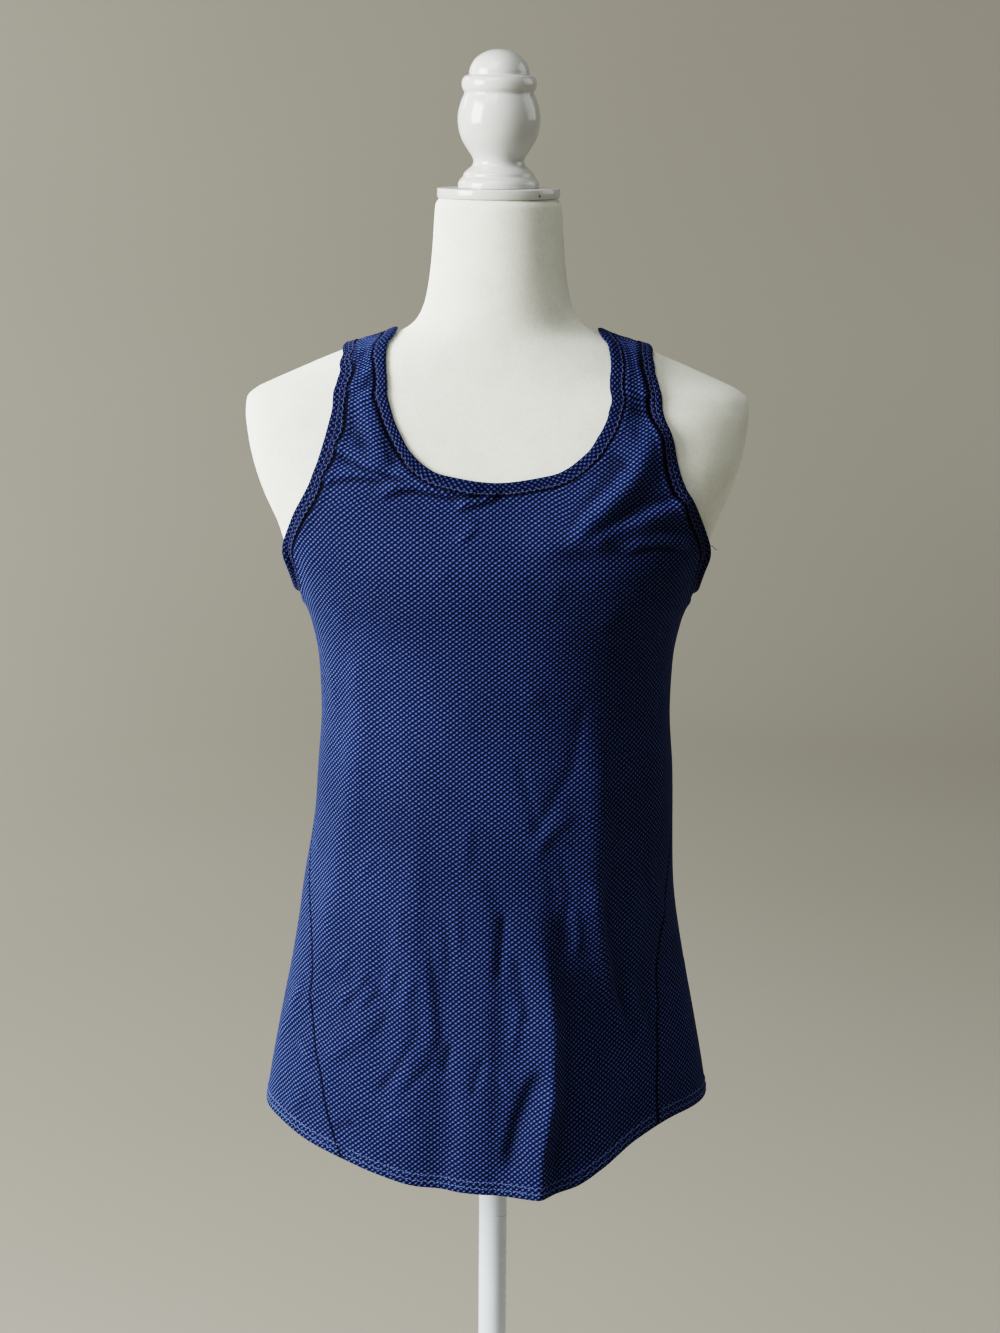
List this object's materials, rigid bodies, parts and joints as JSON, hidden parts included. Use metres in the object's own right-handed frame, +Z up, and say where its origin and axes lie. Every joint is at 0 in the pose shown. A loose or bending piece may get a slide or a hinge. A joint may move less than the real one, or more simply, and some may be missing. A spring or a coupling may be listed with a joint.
{
  "type": "running singlet on dress form",
  "caption": "Racer-back running singlet in navy honeycomb knit, worn by a limbless white dress form with a turned finial, a pole and a round base.",
  "frame": {"origin": "centre of the base's underside, which is the bottom centre of the bounding box", "axes": "+Z up along the pole, the singlet's front faces -Y, +X to the right of someone looking at the front"},
  "size_m": [0.382, 0.33, 1.4601],
  "materials": {
    "knit": "navy polyester honeycomb knit with small raised lighter blue dots",
    "binding": "the same knit folded in two, with two rows of stitching",
    "jersey": "matte off-white stretch jersey over a foam body",
    "gloss_white": "glossy white lacquer",
    "painted_tube": "glossy white paint"
  },
  "bodies": {
    "root": {"front_panel": "knit", "back_panel": "knit", "neck_binding": "binding", "armhole_binding_left": "binding", "armhole_binding_right": "binding", "dress_form_body": "jersey", "neck_cap": "gloss_white", "finial": "gloss_white", "pole": "painted_tube", "base": "painted_tube"}
  },
  "joints": []
}
